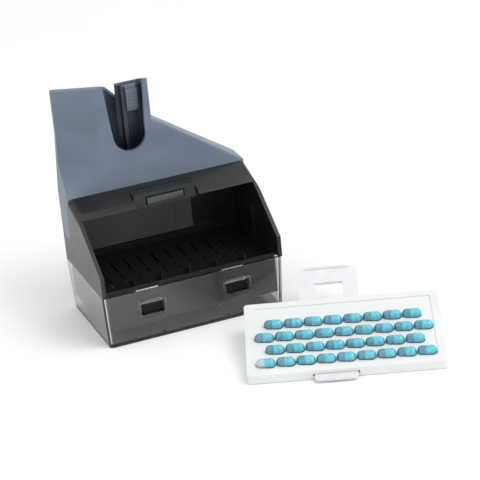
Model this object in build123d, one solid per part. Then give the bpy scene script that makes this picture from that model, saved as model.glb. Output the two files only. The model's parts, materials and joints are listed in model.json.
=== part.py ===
"""Capsule filler: a clear powder base, a black loading bin, a grey filling hood with
its neck, and a separate white rack that holds the capsules over a sliding gate.

Millimetres. +X runs along the front to the right, +Y to the back, +Z up.
The origin is the centre of the base's underside.
"""
from build123d import *
import os

# ---------------------------------------------------------------- driving sizes
UNIT_WIDTH = 143.0            # clear base and bin, left to right
UNIT_DEPTH = 90.0             # clear base and bin, front to back
HALF_WIDTH = UNIT_WIDTH / 2
HALF_DEPTH = UNIT_DEPTH / 2
CORNER_RADIUS = 3.0           # upright outer corners of the unit

# clear base
BASE_HEIGHT = 41.5
BASE_DRAFT = 2.0              # the base narrows by this much on each side at its foot
BASE_WALL = 2.4
BASE_FLOOR = 2.4
BASE_FLOOR_RIB_X = (-26.0, 26.0)
BASE_FLOOR_RIB_HALF = 0.8
BASE_FLOOR_RIB_HEIGHT = 1.6

# windows in the base's front wall and the snap hooks behind them
WINDOW_X = 34.0               # centre of each window, left and right of the middle
WINDOW_WIDTH = 18.0
WINDOW_LOW = 21.0
WINDOW_HIGH = 30.0
WINDOW_FRAME = 1.8            # width of the raised frame round a window
WINDOW_FRAME_GAP = 0.8        # air between the frame and the bin's skirt
WINDOW_FRAME_FACE = 0.1       # the frame's face stands this far behind the rim's front
HOOK_HALF_WIDTH = 8.0
HOOK_HEIGHTS = (17.5, 33.4)
HOOK_THICKNESS = 1.6
HOOK_GAP = 0.6                # free space round a hook in the skirt
HOOK_TOOTH = 0.6              # how far the tooth stands out in front of the hook
HOOK_TOOTH_HEIGHTS = (23.3, 26.3, 28.7)   # foot of the ramp, its end, top of the tooth
HOOK_RIB_WIDTH = 1.0
HOOK_RIB_HEIGHT = 0.7
HOOK_RIB_PITCH = 3.0

# black bin
BIN_WALL = 3.0
SKIRT_HALF_WIDTH = 67.3       # the skirt that stands inside the clear base
SKIRT_HALF_DEPTH = 40.8
SKIRT_WALL = 2.0
SKIRT_BOTTOM = 12.4
SKIRT_STEP_X = 26.0           # between these the skirt's lower edge is a little higher
SKIRT_STEP = 1.8
NOSE_TOP = 58.0               # top of the short upright front edge of each cheek
MOUTH_TOP_Y = 1.0             # upper edge of the sloping mouth
MOUTH_TOP_Z = 92.0
BAND_BACK_Y = 19.0            # back edge of the band over the mouth
BAND_BACK_Z = 98.0
BAND_UNDERSIDE = 88.5
BAND_REST_Y = 22.6            # the hood's front wall stands on the band up to here
CHEEK_FILLET = 5.0
CHEEK_RIB_Y = (2.4, 3.6)      # upright rib inside each cheek
CHEEK_RIB_TOP = 66.0
CHEEK_RIB_DEPTH = 1.5
SKIRT_RADIUS = 2.0
LEDGE_WIDTH = 1.6             # the ledge in the skirt that the floor rests on
LEDGE_THICKNESS = 1.2
FLANGE_THICKNESS = 2.0        # the flange that rests on the clear base's rim
FLANGE_FRONT_GAP = 5.0        # the flange starts this far behind the front
FLOOR_UNDERSIDE = 36.0
FLOOR_TOP = 38.6
FLOOR_SLOT_PITCH = 11.0
FLOOR_SLOT_LENGTH = 22.0
FLOOR_SLOT_WIDTH = 1.6
FLOOR_SLOT_ROW_Y = 13.0       # each of the two rows of slots stands this far from the middle
FIN_X = (-44.0, -22.0, 0.0, 22.0, 44.0)
FIN_THICKNESS = 1.2
FIN_DEPTHS = (0.4, 5.0)       # a front fin lies between these distances from the floor's edge
REAR_FIN_DEPTHS = (8.0, 12.0)
FIN_TOP = 47.5                # the front fins; the ones behind them are lower
REAR_FIN_TOP = 44.0
PANEL_SPAN = (-58.0, 32.0)    # lining panel on the back wall, left and right ends
PANEL_HEIGHTS = (43.9, 82.0)
PANEL_THICKNESS = 1.6
RECESS_SPAN = (-33.0, 18.5)   # shallow rectangle in the lining panel
RECESS_HEIGHTS = (46.5, 66.5)
RECESS_DEPTH = 0.8

# latch in the middle of the band
LATCH_HALF_WIDTH = 25.0
LATCH_BOTTOM = 84.5
LATCH_POCKET_BACK = 14.0      # back of the pocket in the band that holds the latch
LATCH_FRONT_Y = 3.0           # front face of the framed panel
LATCH_TOP = 96.0
LATCH_PANEL = 2.0             # thickness of the panel
LATCH_POST = 3.0              # width of its end posts
LATCH_ROOF = 1.5              # thickness of its top
LATCH_WINDOW_HALF_WIDTH = 15.4
LATCH_WINDOW_HEIGHTS = (86.6, 93.0)
BUTTON_GAP = 0.4              # free space round the press bar
BUTTON_PROUD = 1.4            # how far the bar stands out of the frame
BUTTON_RADIUS = 1.2
BUTTON_TRAVEL_GAP = 0.6
BUTTON_TAIL_REACH = 3.0
BUTTON_TAIL_THICKNESS = 1.4
BUTTON_TAIL_GROW = 0.4        # the tail is this much taller than the window, so it stays inside
SPRING_HEIGHTS = (88.4, 91.4)
SPRING_Y = 12.6
SPRING_THICKNESS = 0.4

# grey hood
HOOD_WALL = 2.6
HOOD_FRONT_Y = 19.3
HOOD_BOTTOM = 92.0
SHOULDER_BOTTOM = 98.0
FLARE_HEIGHT = 121.0          # level at which the slanting left side starts to flare out
NECK_BOTTOM = 144.0
NECK_TOP = 177.0              # at the front wall; the rim falls away to the back
NECK_LEFT = -68.5
NECK_RIGHT = 4.0
NECK_FRONT_Y = 27.0
CREASE_X = -39.0              # to the left of this crease the neck's front wall slants back
SLANT_BACK_Y = 40.0           # the slanting wall's left end
SHOULDER_CREASE_X = -50.0     # the crease runs out here in the front wall's lower edge
RIM_DROP = 6.0                # fall of the mouth's rim from front to back
HOOD_CORNER = 2.4             # radius of the hood's upright square corners
ROOF_START = 5.6              # the closed left chamber's roof is level this far behind the wall
ROOF_FALL = 0.8               # and then falls by this much per millimetre
TONGUE_FRONT_Y = 24.0
TONGUE_WIDTH = 17.0
TONGUE_BOTTOM = 61.0
TONGUE_THICKNESS = 1.6
COVER_THICKNESS = 1.6
COVER_OPENING_X = (-62.0, -20.0)
COVER_OPENING_Z = (104.0, 150.0)
COVER_LIP_REACH = (1.6, 2.4)  # the ledge behind the cover: outside and inside the opening
COVER_GAP = 0.2
COVER_SCREW_INSET = 1.2       # the screws stand this far inside the opening's corners
COVER_SCREW_RADIUS = 1.0
COVER_HEAD_RADIUS = 2.4
COVER_HEAD_HEIGHT = 1.2
RECESS_ARM = (2.8, 0.7)       # length and width of one arm of the cross recess
FIT_GAP = 0.3

# notch in the neck's front wall
NOTCH_BOTTOM = 123.6
NOTCH_RADIUS = 12.8
NOTCH_CENTRE_X = -15.5
NOTCH_TOP_LEFT = -33.0
NOTCH_TOP_RIGHT = 0.2

# rails and slider on the dark liner of the neck's back wall
DIVIDER_BOTTOM = 100.0
DIVIDER_THICKNESS = 1.8
DIVIDER_GAP = 0.05
LINER_SPAN = (-18.1, 1.2)     # left and right edges
LINER_THICKNESS = 0.8
RAIL_CENTRE_X = -7.4
RAIL_HALF_SPAN = 6.2          # from the centre line to a rail's inner face
RAIL_THICKNESS = 1.6
RAIL_DEPTH = 3.5
RAIL_LIP = 1.6
RAIL_LIP_THICKNESS = 1.0
RAIL_BOTTOM = 111.0
RAIL_TOP = 170.4
SLIDER_HEIGHT = 20.0
SLIDER_TOP = 170.4
SLIDER_FACE = 1.6             # the slider's body stands this far in front of the rails' webs
GRIP_THICKNESS = 1.0
GRIP_RIB_HEIGHT = 0.6
GRIP_RIB_PITCH = 2.6

# capsule rack, built flat and then tilted and turned into place
RACK_LENGTH = 143.0
RACK_DEPTH = 84.0
RACK_PLATE = 2.0
RACK_WALL = 2.2
RACK_RIM = 6.0                # width of the slightly raised border
RACK_RIM_HEIGHT = 0.8
RACK_TILT = 11.4              # the back edge stands higher than the front edge
RACK_TURN = -21.0
RACK_CENTRE = (78.7, -138.5, 15.1)
CAPSULE_LENGTH = 13.8
CAPSULE_RADIUS = 3.6
CAPSULE_BODY_RADIUS = 3.45
CAPSULE_JOINT = -0.8          # where the cap's edge meets the body, from the middle
SLOT_LENGTH = 14.2
SLOT_WIDTH = 7.6
SLOT_SKEW = 8.0               # the slots stand at this angle to their rows
IN_ROW_PITCH = 14.4
ROW_PITCH = 14.8
ROWS_CENTRE_Y = -7.6
ROW_COUNTS = (9, 8, 9, 8)     # from the front row to the back row
GATE_GAP = 0.3
GATE_THICKNESS = 1.8
GATE_HALF_LENGTH = 66.1
GATE_RAIL_WIDTH = 2.8
GATE_RAIL_LIP = 1.3
GATE_RAIL_SHELF = 1.2         # thickness of the shelf that carries the gate
GATE_RAIL_END_GAP = 2.0       # the rails stop this far from the rack's walls
GATE_END_GAPS = (0.6, 0.8)    # the gate clears the rack's front and back walls by this much
GATE_SCREW_Y = (-32.0, 0.0, 32.0)
GATE_SCREW_RADIUS = 0.7
GATE_HEAD_RADIUS = 1.35
GATE_HEAD_HEIGHT = 0.8
GATE_TRAVEL = ROW_PITCH / 2
HANDLE_CENTRE_X = -8.0
HANDLE_WIDTH = 44.5
HANDLE_REACH = 45.0           # how far the loop stands out behind the rack
HANDLE_BEVEL = 6.0            # cut corners of the loop
HANDLE_BAR = 21.0             # depth of the loop's far bar
HANDLE_HOLE = 21.0            # width of the finger hole
HANDLE_LIP_HEIGHT = 1.6
TAB_OVERLAP = 6.0             # how far the front tab runs in under the rack
TAB_RADIUS = 3.0
HANDLE_LIP = (4.5, 3.0)       # a low ridge between these distances from the far edge
TAB_WIDTH = 31.0
TAB_REACH = 6.5


# ---------------------------------------------------------------- small helpers
def block(x_range, y_range, z_range):
    """A box between two values on each axis."""
    lengths = [high - low for low, high in (x_range, y_range, z_range)]
    centre = [(low + high) / 2 for low, high in (x_range, y_range, z_range)]
    return Pos(*centre) * Box(*lengths)


def rounded_column(half_x, half_y, radius, z_low, z_high, centre=(0.0, 0.0)):
    """An upright block with rounded upright edges."""
    outline = Plane.XY.offset(z_low) * Pos(*centre) * RectangleRounded(2 * half_x, 2 * half_y, radius)
    return extrude(outline, z_high - z_low)


def side_profile(points, half_width):
    """A solid with the given outline of (y, z) points, as wide as 2 x half_width."""
    face = make_face(Plane.YZ * Polyline(*points, close=True))
    return extrude(face, half_width, both=True)


def drafted_shell(half_x, half_y, radius, draft, height):
    """A block that narrows towards its foot by draft on every side."""
    foot = RectangleRounded(2 * (half_x - draft), 2 * (half_y - draft), radius)
    rim = Plane.XY.offset(height) * RectangleRounded(2 * half_x, 2 * half_y, radius)
    return loft([foot, rim], ruled=True)


def one_solid(shape):
    """The largest solid of a shape, for a piece that must come out whole."""
    return sorted(shape.solids(), key=lambda solid: solid.volume)[-1]


# ---------------------------------------------------------------- clear base
def window_opening(side, grow=0.0):
    """The space of one window, left (-1) or right (+1), through the front wall."""
    centre = side * WINDOW_X
    reach = WINDOW_WIDTH / 2 + grow
    return block(
        (centre - reach, centre + reach),
        (-HALF_DEPTH - 2, -SKIRT_HALF_DEPTH - FIT_GAP),
        (WINDOW_LOW - grow, WINDOW_HIGH + grow),
    )


def clear_base():
    """The clear powder tray: drafted walls, a flat floor with low ribs and two windows."""
    outer = drafted_shell(HALF_WIDTH, HALF_DEPTH, CORNER_RADIUS, BASE_DRAFT, BASE_HEIGHT)
    inner = drafted_shell(
        HALF_WIDTH - BASE_WALL, HALF_DEPTH - BASE_WALL, CORNER_RADIUS / 2, BASE_DRAFT, BASE_HEIGHT
    )
    wide = (-UNIT_WIDTH, UNIT_WIDTH)
    deep = (-UNIT_DEPTH, UNIT_DEPTH)
    tray = outer - inner + (outer & block(wide, deep, (0, BASE_FLOOR)))
    for x in BASE_FLOOR_RIB_X:
        tray += outer & block(
            (x - BASE_FLOOR_RIB_HALF, x + BASE_FLOOR_RIB_HALF),
            deep,
            (BASE_FLOOR - 1, BASE_FLOOR + BASE_FLOOR_RIB_HEIGHT),
        )
    for side in (-1, 1):
        frame_depth = (WINDOW_FRAME_FACE - HALF_DEPTH, -SKIRT_HALF_DEPTH - WINDOW_FRAME_GAP)
        tray += window_opening(side, WINDOW_FRAME) & block(wide, frame_depth, (0, BASE_HEIGHT))
        tray -= window_opening(side)
    return one_solid(tray)


# ---------------------------------------------------------------- black bin
def cheek_outline():
    """Outer side outline of the bin above the clear base."""
    return [
        (HALF_DEPTH, BASE_HEIGHT),
        (HALF_DEPTH, HOOD_BOTTOM),
        (BAND_BACK_Y, HOOD_BOTTOM),
        (BAND_BACK_Y, BAND_BACK_Z),
        (MOUTH_TOP_Y, MOUTH_TOP_Z),
        (-HALF_DEPTH, NOSE_TOP),
        (-HALF_DEPTH, BASE_HEIGHT),
    ]


def cavity_outline():
    """Side outline of the space between the cheeks, open to the front and the top."""
    back = HALF_DEPTH - BIN_WALL
    return [
        (back, 0),
        (back, NECK_TOP),
        (BAND_REST_Y, NECK_TOP),
        (BAND_REST_Y, BAND_UNDERSIDE),
        (-UNIT_DEPTH, BAND_UNDERSIDE),
        (-UNIT_DEPTH, 0),
    ]


def tongue(clearance):
    """The pair of side tongues of the hood, or with clearance the pockets they sit in."""
    half = TONGUE_WIDTH / 2 + clearance
    centre_y = TONGUE_FRONT_Y + TONGUE_WIDTH / 2
    low = TONGUE_BOTTOM + TONGUE_WIDTH / 2
    straight = make_face(
        Plane.YZ
        * Polyline(
            (centre_y - half, low),
            (centre_y + half, low),
            (centre_y + half, HOOD_BOTTOM + 4),
            (centre_y - half, HOOD_BOTTOM + 4),
            close=True,
        )
    )
    outline = straight + Plane.YZ * Pos(centre_y, low) * Circle(half)
    thickness = TONGUE_THICKNESS + clearance
    right = Pos(HALF_WIDTH - thickness, 0, 0) * extrude(outline, thickness)
    return right + mirror(right, about=Plane.YZ)


def bin_shell():
    """Cheeks, back wall and band in one moulding, with the skirt that enters the base."""
    hull = side_profile(cheek_outline(), HALF_WIDTH)
    slope = [
        edge
        for edge in hull.edges()
        if abs(edge.center().Y - (MOUTH_TOP_Y + BAND_BACK_Y) / 2) < 1
        and abs(edge.center().Z - (MOUTH_TOP_Z + BAND_BACK_Z) / 2) < 1
    ]
    hull = fillet(slope, CHEEK_FILLET)
    back_corners = hull.edges().filter_by(Axis.Z).group_by(Axis.Y)[-1]
    hull = fillet(back_corners, CORNER_RADIUS)
    shell = hull - side_profile(cavity_outline(), HALF_WIDTH - BIN_WALL)

    inner_x = SKIRT_HALF_WIDTH - SKIRT_WALL
    inner_y = SKIRT_HALF_DEPTH - SKIRT_WALL
    inner_radius = SKIRT_RADIUS / 2
    skirt = rounded_column(SKIRT_HALF_WIDTH, SKIRT_HALF_DEPTH, SKIRT_RADIUS, SKIRT_BOTTOM, BASE_HEIGHT)
    skirt -= rounded_column(inner_x, inner_y, inner_radius, 0, UNIT_DEPTH)
    skirt -= block(
        (-SKIRT_STEP_X, SKIRT_STEP_X), (-UNIT_DEPTH, UNIT_DEPTH), (0, SKIRT_BOTTOM + SKIRT_STEP)
    )
    for side in (-1, 1):
        skirt -= hook_window(side)
    ledge_low = FLOOR_UNDERSIDE - LEDGE_THICKNESS
    ledge = rounded_column(inner_x, inner_y, inner_radius, ledge_low, FLOOR_UNDERSIDE)
    ledge -= rounded_column(inner_x - LEDGE_WIDTH, inner_y - LEDGE_WIDTH, inner_radius, 0, UNIT_DEPTH)

    flange = block(
        (-HALF_WIDTH, HALF_WIDTH),
        (FLANGE_FRONT_GAP - HALF_DEPTH, HALF_DEPTH),
        (BASE_HEIGHT, BASE_HEIGHT + FLANGE_THICKNESS),
    )
    flange &= hull
    flange -= rounded_column(inner_x, inner_y, inner_radius, 0, UNIT_DEPTH)
    shell += skirt + ledge + flange

    cheek_face = HALF_WIDTH - BIN_WALL
    rib = block((cheek_face - CHEEK_RIB_DEPTH, cheek_face + 1), CHEEK_RIB_Y, (BASE_HEIGHT, CHEEK_RIB_TOP))
    shell += rib + mirror(rib, about=Plane.YZ)
    shell -= block(
        (-LATCH_HALF_WIDTH, LATCH_HALF_WIDTH),
        (-UNIT_DEPTH, LATCH_POCKET_BACK),
        (LATCH_BOTTOM, UNIT_WIDTH),
    )
    shell -= tongue(FIT_GAP)
    return one_solid(shell)


def bin_floor():
    """The slotted floor that lets spilt powder through, with its row of front fins."""
    half_x = SKIRT_HALF_WIDTH - SKIRT_WALL - 0.1
    half_y = SKIRT_HALF_DEPTH - SKIRT_WALL - 0.1
    plate = rounded_column(half_x, half_y, 0.9, FLOOR_UNDERSIDE, FLOOR_TOP)
    slot = extrude(SlotOverall(FLOOR_SLOT_LENGTH, FLOOR_SLOT_WIDTH, rotation=90), 3 * BIN_WALL)
    for column in range(-5, 6):
        for row in (-1, 1):
            place = Pos(column * FLOOR_SLOT_PITCH, row * FLOOR_SLOT_ROW_Y, FLOOR_UNDERSIDE - BIN_WALL)
            plate -= place * slot
    for x in FIN_X:
        span = (x - FIN_THICKNESS / 2, x + FIN_THICKNESS / 2)
        for depths, top in ((FIN_DEPTHS, FIN_TOP), (REAR_FIN_DEPTHS, REAR_FIN_TOP)):
            place = [depth - half_y for depth in depths]
            plate += block(span, place, (FLOOR_TOP - 1, top))
    return one_solid(plate)


def back_panel():
    """The lining panel on the bin's back wall, with its shallow rectangular recess."""
    face = HALF_DEPTH - BIN_WALL
    panel = block(PANEL_SPAN, (face - PANEL_THICKNESS, face), PANEL_HEIGHTS)
    recess_floor = face - PANEL_THICKNESS + RECESS_DEPTH
    panel -= block(RECESS_SPAN, (face - 2 * PANEL_THICKNESS, recess_floor), RECESS_HEIGHTS)
    return one_solid(panel)


# ---------------------------------------------------------------- snap hooks
def hook_window(side):
    """The gap in the bin's skirt in which a snap hook flexes."""
    reach = HOOK_HALF_WIDTH + HOOK_GAP
    return block(
        (side * WINDOW_X - reach, side * WINDOW_X + reach),
        (-SKIRT_HALF_DEPTH - 1, -SKIRT_HALF_DEPTH + SKIRT_WALL + 2),
        (HOOK_HEIGHTS[0] - HOOK_GAP, HOOK_HEIGHTS[1] + HOOK_GAP),
    )


def snap_hook(side):
    """One flexing tongue with a tooth that faces the window in the clear wall."""
    outer = -SKIRT_HALF_DEPTH + 0.1
    inner = outer + HOOK_THICKNESS
    centre = side * WINDOW_X
    low, high = HOOK_HEIGHTS
    ramp_low, ramp_high, tooth_top = HOOK_TOOTH_HEIGHTS
    tooth_outline = [
        (inner, ramp_low),
        (outer - HOOK_TOOTH, ramp_high),
        (outer - HOOK_TOOTH, tooth_top),
        (inner, tooth_top),
    ]
    hook = block((centre - HOOK_HALF_WIDTH, centre + HOOK_HALF_WIDTH), (outer, inner), (low, high))
    hook += Pos(centre, 0, 0) * side_profile(tooth_outline, HOOK_HALF_WIDTH - 1)
    for step in (-2, -1, 0, 1, 2):
        x = centre + step * HOOK_RIB_PITCH
        span = (x - HOOK_RIB_WIDTH / 2, x + HOOK_RIB_WIDTH / 2)
        hook += block(span, (inner - 0.2, inner + HOOK_RIB_HEIGHT), (low + 2.5, high - 1))
    return one_solid(hook)


# ---------------------------------------------------------------- latch
def latch_frame():
    """The framed panel that hangs in the middle of the band and guides the latch."""
    half = LATCH_HALF_WIDTH - 0.1
    back = LATCH_POCKET_BACK - 0.1
    low = LATCH_BOTTOM + 0.1
    roof_low = LATCH_TOP - LATCH_ROOF
    panel = block((-half, half), (LATCH_FRONT_Y, LATCH_FRONT_Y + LATCH_PANEL), (low, roof_low))
    for side in (-1, 1):
        post = sorted((side * half, side * (half - LATCH_POST)))
        panel += block(post, (LATCH_FRONT_Y, back), (low, roof_low))
    panel += block((-half, half), (LATCH_FRONT_Y, back), (roof_low, LATCH_TOP))
    window = (-LATCH_WINDOW_HALF_WIDTH, LATCH_WINDOW_HALF_WIDTH)
    panel -= block(window, (0, LATCH_FRONT_Y + 2 * LATCH_PANEL), LATCH_WINDOW_HEIGHTS)
    return one_solid(panel)


def latch_button():
    """The press bar: a rounded face in the frame's window with a wider tail behind it."""
    half = LATCH_WINDOW_HALF_WIDTH - BUTTON_GAP
    low, high = LATCH_WINDOW_HEIGHTS
    tail_front = LATCH_FRONT_Y + LATCH_PANEL + BUTTON_TRAVEL_GAP
    face = block(
        (-half, half),
        (LATCH_FRONT_Y - BUTTON_PROUD, tail_front),
        (low + BUTTON_GAP, high - BUTTON_GAP),
    )
    face = fillet(face.edges().filter_by(Axis.Z).group_by(Axis.Y)[0], BUTTON_RADIUS)
    tail = block(
        (-half - BUTTON_TAIL_REACH, half + BUTTON_TAIL_REACH),
        (tail_front, tail_front + BUTTON_TAIL_THICKNESS),
        (low - BUTTON_TAIL_GROW, high + BUTTON_TAIL_GROW / 2),
    )
    return one_solid(face + tail)


def latch_spring():
    """The leaf spring behind the press bar, held by its ends in the frame's posts."""
    reach = LATCH_HALF_WIDTH - 0.1 - LATCH_POST
    leaf = block((-reach, reach), (SPRING_Y, SPRING_Y + SPRING_THICKNESS), SPRING_HEIGHTS)
    for side in (-1, 1):
        x = side * (LATCH_WINDOW_HALF_WIDTH + 1.6)
        leaf += block((x - 1, x + 1), (SPRING_Y - 2, SPRING_Y + 0.1), SPRING_HEIGHTS)
    return one_solid(leaf)


# ---------------------------------------------------------------- grey hood
def moved_inwards(corners, inset):
    """The same outline with every side moved inwards by inset."""
    moved = []
    for index, corner in enumerate(corners):
        before = corner - corners[index - 1]
        after = corners[(index + 1) % len(corners)] - corner
        side = Vector(-before.Y, before.X).normalized()
        next_side = Vector(-after.Y, after.X).normalized()
        moved.append(corner + (side + next_side) * (inset / (1 + side.dot(next_side))))
    return moved


def hood_level(left, right, front, crease_x, slant_back, height, inset):
    """One level outline of the hood: its left end slants back from the crease."""
    corners = [
        Vector(left, HALF_DEPTH),
        Vector(left, slant_back),
        Vector(crease_x, front),
        Vector(right, front),
        Vector(right, HALF_DEPTH),
    ]
    face = make_face(Plane.XY.offset(height) * Polyline(*moved_inwards(corners, inset), close=True))
    if inset > 0:
        return face
    square = [vertex for vertex in face.vertices() if vertex.X > crease_x + 1 or vertex.Y > HALF_DEPTH - 1]
    return fillet(square, HOOD_CORNER)


def hood_body(inset, overlap=0.0):
    """The hood's outer form, or its hollow when inset is the wall thickness."""
    flare = (NECK_BOTTOM - FLARE_HEIGHT) / (NECK_BOTTOM - SHOULDER_BOTTOM)
    right = NECK_RIGHT + flare * (HALF_WIDTH - NECK_RIGHT)
    front = NECK_FRONT_Y + flare * (HOOD_FRONT_Y - NECK_FRONT_Y)
    left = NECK_LEFT + flare * (-HALF_WIDTH - NECK_LEFT)
    foot = (-HALF_WIDTH, HALF_WIDTH, HOOD_FRONT_Y, SHOULDER_CREASE_X, HOOD_FRONT_Y)
    middle = (left, right, front, CREASE_X - 4, SLANT_BACK_Y - 3)
    throat = (NECK_LEFT, NECK_RIGHT, NECK_FRONT_Y, CREASE_X, SLANT_BACK_Y)
    levels = [
        hood_level(*foot, HOOD_BOTTOM - overlap, inset),
        hood_level(*foot, SHOULDER_BOTTOM - inset, inset),
        hood_level(*middle, FLARE_HEIGHT - inset * 0.8, inset),
        hood_level(*throat, NECK_BOTTOM - inset / 2, inset),
        hood_level(*throat, NECK_TOP + 10, inset),
    ]
    body = loft(levels[:2], ruled=True)
    for low, high in zip(levels[1:], levels[2:]):
        body += loft([low, high], ruled=True)
    return body


def above_rim():
    """Everything over the sloping rim of the neck's open mouth."""
    return side_profile(
        [
            (NECK_FRONT_Y - 10, NECK_TOP),
            (NECK_FRONT_Y, NECK_TOP),
            (HALF_DEPTH + 1, NECK_TOP - RIM_DROP),
            (HALF_DEPTH + 1, NECK_TOP + 30),
            (NECK_FRONT_Y - 10, NECK_TOP + 30),
        ],
        UNIT_WIDTH,
    )


def divider_line(offset):
    """Plan points of the slanting wall between the mouth and the closed left chamber."""
    return (NOTCH_TOP_LEFT + 1 + offset, NECK_FRONT_Y), (-16.0 + offset, HALF_DEPTH)


def left_of_divider(offset, z_low, z_high):
    """The part of the neck to the left of the slanting wall, moved right by offset."""
    front, rear = divider_line(offset)
    outline = Polyline(
        (-UNIT_WIDTH, NECK_FRONT_Y - 20),
        (front[0], NECK_FRONT_Y - 20),
        front,
        rear,
        (rear[0], HALF_DEPTH + 5),
        (-UNIT_WIDTH, HALF_DEPTH + 5),
        close=True,
    )
    return extrude(make_face(Plane.XY.offset(z_low) * outline), z_high - z_low)


def above_roof(drop):
    """Everything over the closed left chamber's roof, which falls away behind the slanting wall."""
    along = Vector(CREASE_X - NECK_LEFT, NECK_FRONT_Y - SLANT_BACK_Y, 0).normalized()
    across = Plane(
        origin=(CREASE_X, NECK_FRONT_Y, 0), x_dir=(-along.Y, along.X, 0), z_dir=(along.X, along.Y, 0)
    )
    top = NECK_TOP - drop
    reach = 60.0
    outline = Polyline(
        (-reach, top),
        (ROOF_START, top),
        (reach, top - (reach - ROOF_START) * ROOF_FALL),
        (reach, top + reach),
        (-reach, top + reach),
        close=True,
    )
    return extrude(make_face(across * outline), UNIT_WIDTH, both=True)


def notch_cutter():
    """The tapering, round-bottomed notch through the neck's front wall."""
    centre_z = NOTCH_BOTTOM + NOTCH_RADIUS
    over = NECK_TOP + 10
    sides = make_face(
        Plane.XZ
        * Polyline(
            (NOTCH_CENTRE_X - NOTCH_RADIUS, centre_z),
            (NOTCH_TOP_LEFT, over),
            (NOTCH_TOP_RIGHT, over),
            (NOTCH_CENTRE_X + NOTCH_RADIUS, centre_z),
            close=True,
        )
    )
    bottom = Plane.XZ * Pos(NOTCH_CENTRE_X, centre_z) * Circle(NOTCH_RADIUS)
    start = Pos(0, NECK_FRONT_Y + HOOD_WALL + 1, 0)
    forwards = Vector(0, -1, 0)
    return start * (extrude(sides, 30, dir=forwards) + extrude(bottom, 30, dir=forwards))


def rear_opening(grow):
    """The opening in the hood's back wall that the rear cover fills."""
    left, right = COVER_OPENING_X
    low, high = COVER_OPENING_Z
    depth = (HALF_DEPTH - HOOD_WALL, HALF_DEPTH + 1)
    return block((left - grow, right + grow), depth, (low - grow, high + grow))


def hood_shell():
    """The hood moulding: skirt, sloping shoulder, neck, left chamber roof and tongues."""
    outer = hood_body(0.0)
    hollow = hood_body(HOOD_WALL, overlap=1.0)
    chamber_edge = left_of_divider(0, HOOD_BOTTOM, NECK_TOP + 20)
    outer -= above_rim() - chamber_edge
    outer -= above_roof(0) & chamber_edge
    hollow -= above_roof(HOOD_WALL) & chamber_edge
    shell = outer - hollow - notch_cutter()
    shell -= rear_opening(0)
    behind_cover = block((-UNIT_WIDTH, UNIT_WIDTH), (0, HALF_DEPTH - COVER_THICKNESS), (0, NECK_TOP))
    lip = rear_opening(COVER_LIP_REACH[0]) & behind_cover
    shell += (lip & outer) - rear_opening(-COVER_LIP_REACH[1])
    shell += tongue(0.0) & block((-UNIT_WIDTH, UNIT_WIDTH), (0, HALF_DEPTH), (0, HOOD_BOTTOM + 2))
    for x, z in cover_screw_points():
        shell -= Pos(x, HALF_DEPTH, z) * Rotation(90, 0, 0) * Cylinder(COVER_SCREW_RADIUS + 0.05, 12)
    return one_solid(shell)


def neck_divider():
    """The slanting wall that parts the open mouth from the closed left chamber."""
    wall = left_of_divider(0, DIVIDER_BOTTOM, NECK_TOP + 20)
    wall -= left_of_divider(-DIVIDER_THICKNESS, DIVIDER_BOTTOM - 10, NECK_TOP + 30)
    wall &= hood_body(HOOD_WALL + DIVIDER_GAP)
    wall -= above_rim()
    wall -= above_roof(HOOD_WALL + 2 * DIVIDER_GAP)
    return one_solid(wall)


def guide_rails():
    """The liner of the neck's back wall, with two upright rails that have inward lips."""
    back = HALF_DEPTH - HOOD_WALL
    liner_face = back - LINER_THICKNESS
    rail_face = liner_face - RAIL_DEPTH
    heights = (RAIL_BOTTOM, RAIL_TOP)
    rails = block(LINER_SPAN, (liner_face, back), heights)
    for side in (-1, 1):
        inner = RAIL_CENTRE_X + side * RAIL_HALF_SPAN
        outer = inner + side * RAIL_THICKNESS
        lip = inner - side * RAIL_LIP
        rails += block(sorted((inner, outer)), (rail_face, back - LINER_THICKNESS / 2), heights)
        rails += block(sorted((lip, outer)), (rail_face - RAIL_LIP_THICKNESS, rail_face), heights)
    return one_solid(rails)


def feed_slider():
    """The carriage that runs between the rails, with a raised body in front of the lips."""
    back = HALF_DEPTH - HOOD_WALL - LINER_THICKNESS
    half = RAIL_HALF_SPAN - FIT_GAP
    heights = (SLIDER_TOP - SLIDER_HEIGHT, SLIDER_TOP)
    carriage = block(
        (RAIL_CENTRE_X - half, RAIL_CENTRE_X + half),
        (back - RAIL_DEPTH + FIT_GAP, back - FIT_GAP),
        heights,
    )
    neck_half = RAIL_HALF_SPAN - RAIL_LIP - FIT_GAP
    carriage += block(
        (RAIL_CENTRE_X - neck_half, RAIL_CENTRE_X + neck_half),
        (back - RAIL_DEPTH - SLIDER_FACE, back - RAIL_DEPTH + 1),
        heights,
    )
    return one_solid(carriage)


def slider_grip():
    """The ribbed thumb pad on the front of the slider."""
    face = HALF_DEPTH - HOOD_WALL - LINER_THICKNESS - RAIL_DEPTH - SLIDER_FACE
    half = RAIL_HALF_SPAN - RAIL_LIP
    span = (RAIL_CENTRE_X - half, RAIL_CENTRE_X + half)
    low = SLIDER_TOP - SLIDER_HEIGHT + 2
    pad = block(span, (face - GRIP_THICKNESS, face), (low, SLIDER_TOP - 2))
    rib_depth = (face - GRIP_THICKNESS - GRIP_RIB_HEIGHT, face - GRIP_THICKNESS + 0.1)
    for step in range(5):
        z = low + 2 + GRIP_RIB_PITCH * step
        pad += block(span, rib_depth, (z, z + 1.0))
    return one_solid(pad)


def cover_screw_points():
    """Where the rear cover's four screws stand, as (x, z)."""
    inset = COVER_SCREW_INSET
    across = (COVER_OPENING_X[0] + inset, COVER_OPENING_X[1] - inset)
    upwards = (COVER_OPENING_Z[0] + inset, COVER_OPENING_Z[1] - inset)
    return [(x, z) for x in across for z in upwards]


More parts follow.
